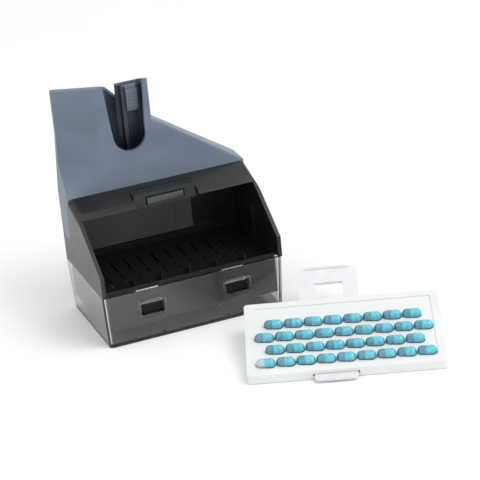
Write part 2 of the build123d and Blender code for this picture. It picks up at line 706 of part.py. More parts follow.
def rear_cover():
    """The flat cover in the hood's back wall that gives access to the rails."""
    cover = rear_opening(-COVER_GAP) & block(
        (-UNIT_WIDTH, UNIT_WIDTH), (HALF_DEPTH - COVER_THICKNESS, HALF_DEPTH), (0, NECK_TOP)
    )
    for x, z in cover_screw_points():
        cover -= Pos(x, HALF_DEPTH, z) * Rotation(90, 0, 0) * Cylinder(COVER_SCREW_RADIUS + FIT_GAP, 12)
    return one_solid(cover)


def cover_screws():
    """Four pan-head screws with cross recesses in the rear cover."""
    head = Rotation(90, 0, 0) * Cylinder(COVER_HEAD_RADIUS, COVER_HEAD_HEIGHT)
    head = Pos(0, COVER_HEAD_HEIGHT / 2, 0) * head
    shank = Pos(0, -1.3, 0) * Rotation(90, 0, 0) * Cylinder(COVER_SCREW_RADIUS, 2.8)
    screw = head + shank
    for width, height in (RECESS_ARM, RECESS_ARM[::-1]):
        screw -= Pos(0, COVER_HEAD_HEIGHT, 0) * Box(width, 0.9, height)
    screw = one_solid(screw)
    return [Pos(x, HALF_DEPTH, z) * screw for x, z in cover_screw_points()]


# ---------------------------------------------------------------- capsule rack
def placed(shape):
    """Move a piece from the flat rack's own frame to its resting place."""
    return Pos(*RACK_CENTRE) * Rotation(0, 0, RACK_TURN) * Rotation(RACK_TILT, 0, 0) * shape


def capsule_places(shift=0.0):
    """Locations of all slots in the rack's frame; shift moves the grid along the rack's depth."""
    places = []
    rows = len(ROW_COUNTS)
    for row, count in enumerate(ROW_COUNTS):
        y = ROWS_CENTRE_Y + (row - (rows - 1) / 2) * ROW_PITCH + shift
        for index in range(count):
            x = (index - (count - 1) / 2) * IN_ROW_PITCH
            places.append(Location((x, y, 0), (0, 0, -SLOT_SKEW)))
    return places


def slot_cutters(depth_range, shift=0.0):
    """All slots as cutters between two depths."""
    low, high = depth_range
    slot = extrude(SlotOverall(SLOT_LENGTH, SLOT_WIDTH), high - low)
    return [place * Pos(0, 0, low) * slot for place in capsule_places(shift)]


def rack_plate():
    """The white slotted plate with its low raised border."""
    plate = rounded_column(RACK_LENGTH / 2, RACK_DEPTH / 2, 3.0, -RACK_PLATE, 0)
    border = rounded_column(RACK_LENGTH / 2, RACK_DEPTH / 2, 3.0, 0, RACK_RIM_HEIGHT)
    border -= rounded_column(RACK_LENGTH / 2 - RACK_RIM, RACK_DEPTH / 2 - RACK_RIM, 2.0, -1, 2)
    plate += border
    for cutter in slot_cutters((-RACK_PLATE - 1, 1)):
        plate -= cutter
    return placed(one_solid(plate))


def gate_passage():
    """The clear way through the rack's end walls for the gate's handle and tab."""
    low = -RACK_PLATE - GATE_GAP - GATE_THICKNESS - GATE_GAP
    handle_half = HANDLE_WIDTH / 2 + 1
    tab_half = TAB_WIDTH / 2 + 1
    back = block(
        (HANDLE_CENTRE_X - handle_half, HANDLE_CENTRE_X + handle_half),
        (RACK_DEPTH / 2 - 6, RACK_DEPTH / 2 + 2),
        (low, -RACK_PLATE),
    )
    front = block(
        (HANDLE_CENTRE_X - tab_half, HANDLE_CENTRE_X + tab_half),
        (-RACK_DEPTH / 2 - 2, -RACK_DEPTH / 2 + 6),
        (low, -RACK_PLATE),
    )
    return back + front


def rack_frame():
    """The wedge-shaped wall under the plate, cut level where it stands on the table."""
    half_x = RACK_LENGTH / 2
    half_y = RACK_DEPTH / 2
    wall = rounded_column(half_x, half_y, 3.0, -60, -RACK_PLATE)
    wall -= rounded_column(half_x - RACK_WALL, half_y - RACK_WALL, 1.5, -61, 1)
    wall -= gate_passage()
    ground = block((-400, 400), (-500, 400), (0, 100))
    return one_solid(placed(wall) & ground)


def gate_rail(side):
    """One L-shaped rail under the plate that carries an edge of the gate."""
    top = -RACK_PLATE
    low = top - GATE_GAP - GATE_THICKNESS - GATE_GAP
    length = RACK_DEPTH / 2 - RACK_WALL - GATE_RAIL_END_GAP
    inner = GATE_HALF_LENGTH + FIT_GAP
    outer = inner + GATE_RAIL_WIDTH
    web = sorted((side * inner, side * outer))
    shelf = sorted((side * (inner - GATE_RAIL_LIP), side * outer))
    rail = block(web, (-length, length), (low, top))
    rail += block(shelf, (-length, length), (low - GATE_RAIL_SHELF, low))
    for y in GATE_SCREW_Y:
        rail -= Pos(side * (inner + outer) / 2, y, low) * Cylinder(GATE_SCREW_RADIUS + 0.1, 10)
    return placed(one_solid(rail))


def gate_rail_screws():
    """Small pan-head screws that hold the two gate rails from below."""
    low = -RACK_PLATE - 2 * GATE_GAP - GATE_THICKNESS - GATE_RAIL_SHELF
    x = GATE_HALF_LENGTH + FIT_GAP + GATE_RAIL_WIDTH / 2
    head = Pos(0, 0, -GATE_HEAD_HEIGHT / 2) * Cylinder(GATE_HEAD_RADIUS, GATE_HEAD_HEIGHT)
    screw = one_solid(head + Pos(0, 0, 1.5) * Cylinder(GATE_SCREW_RADIUS, 3.2))
    return [placed(Pos(side * x, y, low) * screw) for side in (-1, 1) for y in GATE_SCREW_Y]


def gate_plate():
    """The frosted gate: a slotted sheet with a loop handle behind and a tab in front."""
    top = -RACK_PLATE - GATE_GAP
    low = top - GATE_THICKNESS
    front_edge = -RACK_DEPTH / 2 + RACK_WALL + GATE_END_GAPS[0]
    back_edge = RACK_DEPTH / 2 - RACK_WALL - GATE_TRAVEL - GATE_END_GAPS[1]
    sheet = block((-GATE_HALF_LENGTH, GATE_HALF_LENGTH), (front_edge, back_edge), (low, top))
    for cutter in slot_cutters((low - 1, top + 1), shift=-GATE_TRAVEL):
        sheet -= cutter

    reach = RACK_DEPTH / 2 + HANDLE_REACH
    handle_half = HANDLE_WIDTH / 2
    outline = make_face(
        Polyline(
            (-handle_half, back_edge - 1),
            (handle_half, back_edge - 1),
            (handle_half, reach - HANDLE_BEVEL),
            (handle_half - HANDLE_BEVEL, reach),
            (HANDLE_BEVEL - handle_half, reach),
            (-handle_half, reach - HANDLE_BEVEL),
            close=True,
        )
    )
    loop = Pos(HANDLE_CENTRE_X, 0, low) * extrude(outline, GATE_THICKNESS)
    hole = (HANDLE_CENTRE_X - HANDLE_HOLE / 2, HANDLE_CENTRE_X + HANDLE_HOLE / 2)
    loop -= block(hole, (RACK_DEPTH / 2 + 1, reach - HANDLE_BAR), (low - 1, top + 1))
    lip_front, lip_back = [reach - distance for distance in HANDLE_LIP]
    lip_half = handle_half - HANDLE_BEVEL
    lip_heights = (low, top + HANDLE_LIP_HEIGHT)
    lip = Pos(HANDLE_CENTRE_X, 0, 0) * block((-lip_half, lip_half), (lip_front, lip_back), lip_heights)

    tab_span = (HANDLE_CENTRE_X - TAB_WIDTH / 2, HANDLE_CENTRE_X + TAB_WIDTH / 2)
    tab_end = -RACK_DEPTH / 2 - TAB_REACH
    tab = block(tab_span, (tab_end, tab_end + TAB_REACH + TAB_OVERLAP), (low, top))
    tab = fillet(tab.edges().filter_by(Axis.Z).group_by(Axis.Y)[0], TAB_RADIUS)
    return placed(one_solid(sheet + loop + lip + tab))


def capsule_half(radius, is_cap):
    """One half of a capsule lying along X: a round-ended shell part, solid inside."""
    half = CAPSULE_LENGTH / 2
    rod = Rotation(0, 90, 0) * Cylinder(radius, CAPSULE_LENGTH - 2 * radius)
    rod += Pos(half - radius, 0, 0) * Sphere(radius)
    rod += Pos(radius - half, 0, 0) * Sphere(radius)
    keep = (CAPSULE_JOINT, 20) if is_cap else (-20, CAPSULE_JOINT)
    return one_solid(rod & block(keep, (-9, 9), (-9, 9)))


def capsule_row(radius, is_cap):
    """All capsule halves of one kind, lying in the slots just above the gate."""
    half = capsule_half(radius, is_cap)
    lift = Pos(0, 0, -RACK_PLATE + CAPSULE_RADIUS)
    return [placed(place * lift * half) for place in capsule_places()]


# ---------------------------------------------------------------- write the parts
def write(node, shape):
    """Save one sub-part; a list of equal pieces goes in as one group of solids."""
    if isinstance(shape, list):
        shape = Compound(children=shape)
    export_step(shape, f"parts/{node}.step")


os.makedirs("parts", exist_ok=True)
write("clear_base", clear_base())
write("bin_shell", bin_shell())
write("bin_floor", bin_floor())
write("back_panel", back_panel())
write("snap_hook_left", snap_hook(-1))
write("snap_hook_right", snap_hook(1))
write("latch_frame", latch_frame())
write("latch_button", latch_button())
write("latch_spring", latch_spring())
write("hood_shell", hood_shell())
write("neck_divider", neck_divider())
write("guide_rails", guide_rails())
write("feed_slider", feed_slider())
write("slider_grip", slider_grip())
write("rear_cover", rear_cover())
write("cover_screws", cover_screws())
write("rack_plate", rack_plate())
write("rack_frame", rack_frame())
write("gate_rail_left", gate_rail(-1))
write("gate_rail_right", gate_rail(1))
write("gate_rail_screws", gate_rail_screws())
write("gate_plate", gate_plate())
write("capsule_bodies", capsule_row(CAPSULE_BODY_RADIUS, is_cap=False))
write("capsule_caps", capsule_row(CAPSULE_RADIUS, is_cap=True))
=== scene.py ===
"""Looks of the capsule filler: clear base, black bin, blue-grey hood and white capsule rack."""
import json
import math

import bmesh
import bpy
from mathutils import Matrix, Vector


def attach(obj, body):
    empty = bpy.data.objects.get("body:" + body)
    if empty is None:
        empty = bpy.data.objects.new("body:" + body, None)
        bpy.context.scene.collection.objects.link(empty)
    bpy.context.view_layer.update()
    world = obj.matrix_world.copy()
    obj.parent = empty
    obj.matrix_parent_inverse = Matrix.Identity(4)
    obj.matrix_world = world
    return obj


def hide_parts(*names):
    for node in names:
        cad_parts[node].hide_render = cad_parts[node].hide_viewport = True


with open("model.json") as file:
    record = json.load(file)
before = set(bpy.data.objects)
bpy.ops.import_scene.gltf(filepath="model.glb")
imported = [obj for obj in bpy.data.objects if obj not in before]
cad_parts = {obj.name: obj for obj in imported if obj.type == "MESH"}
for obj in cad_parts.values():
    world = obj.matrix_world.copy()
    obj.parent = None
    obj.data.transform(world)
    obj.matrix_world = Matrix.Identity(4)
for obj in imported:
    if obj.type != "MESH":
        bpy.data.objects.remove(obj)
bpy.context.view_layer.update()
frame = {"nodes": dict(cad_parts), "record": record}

MM = 0.001
WELD = 0.002 * MM             # corners closer than this are one corner
BODY_OF = {
    name: body
    for body, names in frame["record"]["behaviour"]["bodies"].items()
    for name in names
}
SLOT_OF = {row["node"]: row["material_slot"] for row in frame["record"]["subparts"]}

# where the camera stands, seen from a point between the unit and the rack
VIEW_AZIMUTH = 19.3           # degrees from the front towards the unit's left side
VIEW_ELEVATION = 23.9
VIEW_ROLL = 5.55              # the camera is held a little askew
VIEW_DISTANCE = 1.726
VIEW_TARGET = Vector((0.0409, -0.040, 0.0604))
VIEW_LENS = 173.4

# capsules, in millimetres
CAPSULE_LENGTH = 13.8
CAP_LENGTH = 7.7              # from the cap's pole to its open edge
CAP_RADIUS = 3.6
BODY_RADIUS = 3.45
BODY_IN_CAP = 1.5             # how far the body runs on inside the cap
SNAP_GROOVE = 0.16            # depth of the ring that locks cap and body together
GROOVE_PLACE = 0.68           # where the ring lies, as a share of the cap's length
GROOVE_REACH = 0.09           # half its width, as the same share
SMOOTH_BELOW = 38             # turned shapes are shaded smoothly over edges below this angle

# pan-head screws: head radius and height in millimetres, and shares of the head's size
COVER_HEAD = (2.4, 1.2)
GATE_RAIL_HEAD = (1.35, 0.8)
HEAD_DOME = 0.7               # height of the domed part
RECESS_WIDTH = 0.30           # width and length of one arm of the cross recess
RECESS_LENGTH = 1.15

# studio, in metres and watts
FLOOR_SIZE = 8.0
FLOOR_LEVEL = -0.0002         # just under the object, so that the two never share a plane
WORLD_STRENGTH = 0.85
LIGHT_AIM = Vector((0.03, -0.05, 0.06))


# ---------------------------------------------------------------- colour and nodes
def linear(hex_colour):
    """An sRGB hex colour such as '6F7C8C' as linear red, green, blue and alpha."""
    channels = [int(hex_colour[i:i + 2], 16) / 255 for i in (0, 2, 4)]
    curve = [c / 12.92 if c <= 0.04045 else ((c + 0.055) / 1.055) ** 2.4 for c in channels]
    return (*curve, 1.0)


def add(tree, kind, inputs=None, stops=(), **settings):
    """Add a node with its settings. An input is linked if it is a socket, else set as a
    value; stops are the positions and hex colours of a colour ramp."""
    made = tree.nodes.new(kind)
    for name, value in settings.items():
        setattr(made, name, value)
    for name, value in (inputs or {}).items():
        if isinstance(value, bpy.types.NodeSocket):
            tree.links.new(value, made.inputs[name])
        else:
            made.inputs[name].default_value = value
    for index, (position, hex_colour) in enumerate(stops):
        elements = made.color_ramp.elements
        stop = elements[index] if index < len(elements) else elements.new(position)
        stop.position = position
        stop.color = linear(hex_colour)
    return made


def new_material(name):
    """An empty node material and its tree, with object coordinates ready to use."""
    material = bpy.data.materials.new(name)
    material.use_nodes = True
    tree = material.node_tree
    tree.nodes.clear()
    return material, tree, add(tree, "ShaderNodeTexCoord").outputs["Object"]


def per_mm(size_mm):
    """The scale of a pattern whose features are size_mm apart."""
    return 1.0 / (size_mm * MM)


# ---------------------------------------------------------------- materials
def moulded_plastic(name, dark, light, roughness, grain_mm, grain_strength, **shader_inputs):
    """Opaque injection-moulded plastic: faint flow marks in the colour, eroded-mould grain
    in the surface and handling marks in the gloss."""
    material, tree, where = new_material(name)
    drawn_out = add(tree, "ShaderNodeMapping", {"Vector": where, "Scale": (1.0, 1.0, 2.2)})
    flow = add(
        tree,
        "ShaderNodeTexNoise",
        {"Vector": drawn_out.outputs["Vector"], "Scale": per_mm(55.0), "Detail": 2.0},
    )
    grain = add(
        tree, "ShaderNodeTexNoise", {"Vector": where, "Scale": per_mm(grain_mm), "Detail": 1.0}
    )
    handling = add(
        tree, "ShaderNodeTexNoise", {"Vector": where, "Scale": per_mm(14.0), "Detail": 4.0}
    )
    colour = add(
        tree,
        "ShaderNodeValToRGB",
        {"Fac": flow.outputs["Fac"]},
        stops=[(0.30, dark), (0.70, light)],
    )
    gloss = add(
        tree,
        "ShaderNodeMapRange",
        {
            "Value": handling.outputs["Fac"],
            "To Min": roughness - 0.05,
            "To Max": roughness + 0.06,
        },
    )
    relief = add(
        tree,
        "ShaderNodeBump",
        {"Height": grain.outputs["Fac"], "Strength": grain_strength, "Distance": 0.05 * MM},
    )
    shader = add(
        tree,
        "ShaderNodeBsdfPrincipled",
        {
            "Base Color": colour.outputs["Color"],
            "Roughness": gloss.outputs["Result"],
            "Normal": relief.outputs["Normal"],
            "IOR": 1.53,
            **shader_inputs,
        },
    )
    add(tree, "ShaderNodeOutputMaterial", {"Surface": shader.outputs["BSDF"]})
    return material


def blue_grey_abs():
    """ABS, fine eroded mould: a satin sheen that breaks softly over the hood's creases.
    The real grain is about 0.1 mm; it is drawn at 0.5 mm so that it shows."""
    return moulded_plastic(
        "blue_grey_abs_satin", "5B6778", "687585", 0.34, 0.5, 0.2, **{"Specular IOR Level": 0.38}
    )


def black_abs():
    """ABS from a polished mould: deep black with clear reflections at the edges."""
    return moulded_plastic("black_abs_polished", "111113", "19191B", 0.30, 0.6, 0.14)


def painted_shade_black_abs():
    """The bin's floor, ABS left matt from a blasted mould, its black darkened further as painted
    shade for the inside of the bin: the darkest of the blacks.
    """
    return moulded_plastic(
        "black_abs_matt_painted_shade", "060607", "09090A", 0.55, 0.6, 0.3, **{"Specular IOR Level": 0.3}
    )


def neck_slate_abs():
    """ABS, matt, dark slate, much darker than the hood: the rails and dividing wall inside the
    neck, which make the inside of the neck dark.
    """
    return moulded_plastic("slate_abs_matt", "1E2631", "2C3542", 0.42, 0.5, 0.25)


def painted_light_panel_abs():
    """ABS with a matt texture: the lining panel is painted lighter than the shell round it, as
    painted light falling on the bin's back wall.
    """
    return moulded_plastic("charcoal_abs_painted_light", "4A4A47", "575753", 0.46, 0.5, 0.35)


def grey_abs():
    """ABS, matt: the slider is a shade lighter than the hood."""
    return moulded_plastic("grey_abs_matt", "5C6571", "68717D", 0.46, 0.5, 0.3)


def smoked_acrylic():
    """Polished acrylic bar, smoked green-black, over a dark pocket."""
    return moulded_plastic(
        "smoked_acrylic_polished", "101714", "22302B", 0.12, 3.0, 0.03, **{"Coat Weight": 0.6}
    )


def white_abs():
    """White ABS, satin: bright, with soft grey in the corners."""
    return moulded_plastic("white_abs_satin", "DCDFDF", "E4E6E6", 0.34, 0.6, 0.16)


def clear_san():
    """Clear SAN, lightly smoked, from a polished mould: sharp reflections, slow flow ripples
    that bend what is seen through the wall, and fine scuffs."""
    material, tree, where = new_material("clear_san_polished")
    drawn_out = add(tree, "ShaderNodeMapping", {"Vector": where, "Scale": (1.0, 1.0, 3.0)})
    ripple = add(
        tree,
        "ShaderNodeTexNoise",
        {"Vector": drawn_out.outputs["Vector"], "Scale": per_mm(16.0), "Detail": 1.0},
    )
    wiped = add(tree, "ShaderNodeMapping", {"Vector": where, "Scale": (6.0, 1.0, 1.0)})
    scuffs = add(
        tree,
        "ShaderNodeTexNoise",
        {"Vector": wiped.outputs["Vector"], "Scale": per_mm(12.0), "Detail": 2.0},
    )
    gloss = add(
        tree,
        "ShaderNodeMapRange",
        {"Value": scuffs.outputs["Fac"], "To Min": 0.02, "To Max": 0.09},
    )
    relief = add(
        tree,
        "ShaderNodeBump",
        {"Height": ripple.outputs["Fac"], "Strength": 0.10, "Distance": 0.3 * MM},
    )
    shader = add(
        tree,
        "ShaderNodeBsdfPrincipled",
        {
            "Base Color": linear("E0DFE1"),
            "Transmission Weight": 1.0,
            "IOR": 1.57,
            "Specular IOR Level": 0.12,
            "Roughness": gloss.outputs["Result"],
            "Normal": relief.outputs["Normal"],
        },
    )
    add(tree, "ShaderNodeOutputMaterial", {"Surface": shader.outputs["BSDF"]})
    return material


def frosted_polypropylene():
    """Natural polypropylene with a frosted face: milky, with a soft bright edge. The frost
    is finer than 0.1 mm and is drawn at 0.5 mm."""
    material, tree, where = new_material("polypropylene_frosted")
    cloud = add(tree, "ShaderNodeTexNoise", {"Vector": where, "Scale": per_mm(9.0), "Detail": 3.0})
    frost = add(tree, "ShaderNodeTexNoise", {"Vector": where, "Scale": per_mm(0.5), "Detail": 1.0})
    colour = add(
        tree,
        "ShaderNodeValToRGB",
        {"Fac": cloud.outputs["Fac"]},
        stops=[(0.3, "F2F2F6"), (0.7, "FAFAFC")],
    )
    gloss = add(
        tree,
        "ShaderNodeMapRange",
        {"Value": cloud.outputs["Fac"], "To Min": 0.30, "To Max": 0.42},
    )
    relief = add(
        tree,
        "ShaderNodeBump",
        {"Height": frost.outputs["Fac"], "Strength": 0.25, "Distance": 0.04 * MM},
    )
    shader = add(
        tree,
        "ShaderNodeBsdfPrincipled",
        {
            "Base Color": colour.outputs["Color"],
            "Transmission Weight": 0.3,
            "IOR": 1.49,
            "Roughness": gloss.outputs["Result"],
            "Normal": relief.outputs["Normal"],
        },
    )
    add(tree, "ShaderNodeOutputMaterial", {"Surface": shader.outputs["BSDF"]})
    return material


def gelatin_shell(name, dark, light, pole_shade, lilac_colour, roughness):
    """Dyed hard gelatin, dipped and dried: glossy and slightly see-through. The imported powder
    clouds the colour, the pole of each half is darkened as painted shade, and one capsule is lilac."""
    material, tree, where = new_material(name)
    powder = add(tree, "ShaderNodeTexNoise", {"Vector": where, "Scale": per_mm(2.2), "Detail": 4.0})
    film = add(tree, "ShaderNodeTexNoise", {"Vector": where, "Scale": per_mm(5.0), "Detail": 2.0})
    along = add(tree, "ShaderNodeAttribute", attribute_name="along")
    lilac = add(tree, "ShaderNodeAttribute", attribute_name="lilac")
    dyed = add(
        tree,
        "ShaderNodeValToRGB",
        {"Fac": powder.outputs["Fac"]},
        stops=[(0.32, dark), (0.66, light)],
    )
    # painted shade: each half darkens towards the pole colour within 0.3 to 1.6 mm of its pole
    pole_shade_mask = add(
        tree,
        "ShaderNodeMapRange",
        {"Value": along.outputs["Fac"], "From Min": 0.3 * MM, "From Max": 1.6 * MM,
         "To Min": 1.0, "To Max": 0.0},
    )
    with_pole_shade = add(
        tree,
        "ShaderNodeMix",
        {"Factor": pole_shade_mask.outputs["Result"], "A": dyed.outputs["Color"], "B": linear(pole_shade)},
        data_type="RGBA",
    )
    coloured = add(
        tree,
        "ShaderNodeMix",
        {"Factor": lilac.outputs["Fac"], "A": with_pole_shade.outputs["Result"],
         "B": linear(lilac_colour)},
        data_type="RGBA",
    )
    gloss = add(
        tree,
        "ShaderNodeMapRange",
        {"Value": film.outputs["Fac"], "To Min": roughness - 0.05, "To Max": roughness + 0.07},
    )
    relief = add(
        tree,
        "ShaderNodeBump",
        {"Height": film.outputs["Fac"], "Strength": 0.12, "Distance": 0.12 * MM},
    )
    shader = add(
        tree,
        "ShaderNodeBsdfPrincipled",
        {
            "Base Color": coloured.outputs["Result"],
            "Roughness": gloss.outputs["Result"],
            "Normal": relief.outputs["Normal"],
            "IOR": 1.52,
            "Transmission Weight": 0.15,
            "Subsurface Weight": 0.2,
            "Subsurface Radius": (0.0006, 0.0018, 0.002),
            "Coat Weight": 0.5,
            "Coat Roughness": 0.08,
        },
    )
    add(tree, "ShaderNodeOutputMaterial", {"Surface": shader.outputs["BSDF"]})
    return material


def drawn_steel(name, dark, light, roughness):
    """Zinc-plated or bare spring steel: grey metal with fine drawn lines. The real lines are
    about 0.05 mm apart and are drawn at 0.5 mm."""
    material, tree, where = new_material(name)
    stretched = add(tree, "ShaderNodeMapping", {"Vector": where, "Scale": (1.0, 8.0, 1.0)})
    lines = add(
        tree,
        "ShaderNodeTexNoise",
        {"Vector": stretched.outputs["Vector"], "Scale": per_mm(4.0), "Detail": 2.0},
    )
    colour = add(
        tree,
        "ShaderNodeValToRGB",
        {"Fac": lines.outputs["Fac"]},
        stops=[(0.3, dark), (0.7, light)],
    )
    gloss = add(
        tree,
        "ShaderNodeMapRange",
        {"Value": lines.outputs["Fac"], "To Min": roughness - 0.05, "To Max": roughness + 0.08},
    )
    relief = add(
        tree,
        "ShaderNodeBump",
        {"Height": lines.outputs["Fac"], "Strength": 0.15, "Distance": 0.02 * MM},
    )
    shader = add(
        tree,
        "ShaderNodeBsdfPrincipled",
        {
            "Base Color": colour.outputs["Color"],
            "Metallic": 1.0,
            "Roughness": gloss.outputs["Result"],
            "Normal": relief.outputs["Normal"],
        },
    )
    add(tree, "ShaderNodeOutputMaterial", {"Surface": shader.outputs["BSDF"]})
    return material


MATERIALS = {
    "clear_plastic": clear_san(),
    "black_plastic": black_abs(),
    # the back panel's lighter charcoal is painted light on the bin's back wall
    "charcoal_plastic": painted_light_panel_abs(),
    "smoked_gloss": smoked_acrylic(),
    "spring_steel": drawn_steel("spring_steel_bare", "7E8084", "A2A4A8", 0.30),
    "blue_grey_plastic": blue_grey_abs(),
    "dark_grey_plastic": neck_slate_abs(),
    "grey_plastic": grey_abs(),
    "screw_steel": drawn_steel("steel_zinc_plated", "9A9CA0", "BFC1C4", 0.26),
    "white_plastic": white_abs(),
    "frosted_plastic": frosted_polypropylene(),
    # the colour after dark and light is the painted shade at each half's pole
    "capsule_body_teal": gelatin_shell(
        "gelatin_teal_body", "468FA5", "6BB0C0", "1E4A58", "BCD6E0", 0.22
    ),
    "capsule_cap_teal": gelatin_shell(
        "gelatin_teal_cap", "58BED6", "7ED4E2", "50B0C8", "6CC6D8", 0.20
    ),
}
# a darker copy of the black: painted shade for the bin's floor and the hooks behind the windows
PAINTED_SHADE_BLACK = painted_shade_black_abs()


# ---------------------------------------------------------------- shape trees
def new_shape_tree(name, inputs):
    """A geometry node tree with a mesh input, the named inputs and a mesh output."""
    tree = bpy.data.node_groups.new(name, "GeometryNodeTree")
    tree.interface.new_socket("Geometry", in_out="INPUT", socket_type="NodeSocketGeometry")
    for label, kind in inputs.items():
        tree.interface.new_socket(label, in_out="INPUT", socket_type=kind)
    tree.interface.new_socket("Geometry", in_out="OUTPUT", socket_type="NodeSocketGeometry")
    return tree, add(tree, "NodeGroupInput").outputs


def turned_rod(tree, length, radius, dome, groove, rings, sides):
    """A closed rod along X from a domed pole at the origin to a flat end at length. dome is
    the height of its round end; groove is the depth of a ring two thirds of the way along."""
    line = add(tree, "GeometryNodeCurvePrimitiveLine", {"End": (1.0, 0.0, 0.0)})
    points = add(
        tree, "GeometryNodeResampleCurve", {"Curve": line.outputs["Curve"], "Count": rings}
    )
    share = add(tree, "GeometryNodeSplineParameter").outputs["Factor"]
    quarter = add(
        tree, "ShaderNodeMath", {0: share, 1: math.pi / 2}, operation="MULTIPLY"
    ).outputs[0]
    cosine = add(tree, "ShaderNodeMath", {0: quarter}, operation="COSINE").outputs[0]
    eased = add(tree, "ShaderNodeMath", {0: 1.0, 1: cosine}, operation="SUBTRACT").outputs[0]
    x = add(tree, "ShaderNodeMath", {0: eased, 1: length}, operation="MULTIPLY").outputs[0]
    climb = add(tree, "ShaderNodeMath", {0: x, 1: dome}, operation="DIVIDE").outputs[0]
    below = add(
        tree, "ShaderNodeMath", {0: 1.0, 1: climb}, operation="SUBTRACT", use_clamp=True
    ).outputs[0]
    squared = add(tree, "ShaderNodeMath", {0: below, 1: below}, operation="MULTIPLY").outputs[0]
    rest = add(tree, "ShaderNodeMath", {0: 1.0, 1: squared}, operation="SUBTRACT").outputs[0]
    round_end = add(tree, "ShaderNodeMath", {0: rest}, operation="SQRT").outputs[0]
    full = add(tree, "ShaderNodeMath", {0: round_end, 1: radius}, operation="MULTIPLY").outputs[0]
    offset = add(
        tree, "ShaderNodeMath", {0: eased, 1: GROOVE_PLACE}, operation="SUBTRACT"
    ).outputs[0]
    away = add(tree, "ShaderNodeMath", {0: offset}, operation="ABSOLUTE").outputs[0]
    ring = add(
        tree,
        "ShaderNodeMapRange",
        {"Value": away, "From Min": 0.0, "From Max": GROOVE_REACH,
         "To Min": groove, "To Max": 0.0},
        interpolation_type="SMOOTHSTEP",
    ).outputs["Result"]
    outline = add(tree, "ShaderNodeMath", {0: full, 1: ring}, operation="SUBTRACT").outputs[0]
    place = add(tree, "ShaderNodeCombineXYZ", {"X": x}).outputs["Vector"]
    sized = add(
        tree,
        "GeometryNodeSetCurveRadius",
        {"Curve": points.outputs["Curve"], "Radius": outline},
    )
    moved = add(
        tree,
        "GeometryNodeSetPosition",
        {"Geometry": sized.outputs["Curve"], "Position": place},
    )
    circle = add(tree, "GeometryNodeCurvePrimitiveCircle", {"Resolution": sides, "Radius": 1.0})
    skin = add(
        tree,
        "GeometryNodeCurveToMesh",
        {
            "Curve": moved.outputs["Geometry"],
            "Profile Curve": circle.outputs["Curve"],
            "Scale": add(tree, "GeometryNodeInputRadius").outputs["Radius"],
            "Fill Caps": True,
        },
    )
    place_now = add(tree, "GeometryNodeInputPosition").outputs["Position"]
    parts = add(tree, "ShaderNodeSeparateXYZ", {"Vector": place_now})
    return add(
        tree,
        "GeometryNodeStoreNamedAttribute",
        {"Geometry": skin.outputs["Mesh"], "Name": "along", "Value": parts.outputs["X"]},
    ).outputs["Geometry"]


def set_on_points(tree, given, shape):
    """Put the shape on every input point, turned as asked, as real geometry with a material."""
    copies = add(
        tree,
        "GeometryNodeInstanceOnPoints",
        {"Points": given["Geometry"], "Instance": shape, "Rotation": given["Turn"]},
    )
    real = add(
        tree, "GeometryNodeRealizeInstances", {"Geometry": copies.outputs["Instances"]}
    )
    painted = add(
        tree,
        "GeometryNodeSetMaterial",
        {"Geometry": real.outputs["Geometry"], "Material": given["Material"]},
    )
    add(tree, "NodeGroupOutput", {"Geometry": painted.outputs["Geometry"]})


def capsule_tree():
    """Capsule halves on points: a domed shell whose pole faces away from the other half."""
    tree, given = new_shape_tree(
        "capsule_halves",
        {
            "Length": "NodeSocketFloat",
            "Radius": "NodeSocketFloat",
            "Groove": "NodeSocketFloat",
            "Turn": "NodeSocketVector",
            "Material": "NodeSocketMaterial",
        },
    )
    half = turned_rod(
        tree, given["Length"], given["Radius"], given["Radius"], given["Groove"], 26, 20
    )
    centred = add(
        tree,
        "GeometryNodeTransform",
        {"Geometry": half, "Translation": (-CAPSULE_LENGTH / 2 * MM, 0.0, 0.0)},
    )
    set_on_points(tree, given, centred.outputs["Geometry"])
    return tree


def screw_tree():
    """Pan-head screws on points: the head's dome faces -X and has a cross recess."""
    tree, given = new_shape_tree(
        "pan_head_screws",
        {
            "Length": "NodeSocketFloat",
            "Radius": "NodeSocketFloat",
            "Turn": "NodeSocketVector",
            "Material": "NodeSocketMaterial",
        },
    )
    dome = add(
        tree, "ShaderNodeMath", {0: given["Length"], 1: HEAD_DOME}, operation="MULTIPLY"
    ).outputs[0]
    head = turned_rod(tree, given["Length"], given["Radius"], dome, 0.0, 10, 24)
    narrow = add(
        tree, "ShaderNodeMath", {0: given["Radius"], 1: RECESS_WIDTH}, operation="MULTIPLY"
    ).outputs[0]
    wide = add(
        tree, "ShaderNodeMath", {0: given["Radius"], 1: RECESS_LENGTH}, operation="MULTIPLY"
    ).outputs[0]
    cut = head
    for side_y, side_z in ((narrow, wide), (wide, narrow)):
        size = add(
            tree, "ShaderNodeCombineXYZ", {"X": given["Length"], "Y": side_y, "Z": side_z}
        )
        slot = add(tree, "GeometryNodeMeshCube", {"Size": size.outputs["Vector"]})
        cut = add(
            tree, "GeometryNodeMeshBoolean", {"Mesh 1": cut, "Mesh 2": slot.outputs["Mesh"]},
            operation="DIFFERENCE",
        ).outputs["Mesh"]
    set_on_points(tree, given, cut)
    return tree


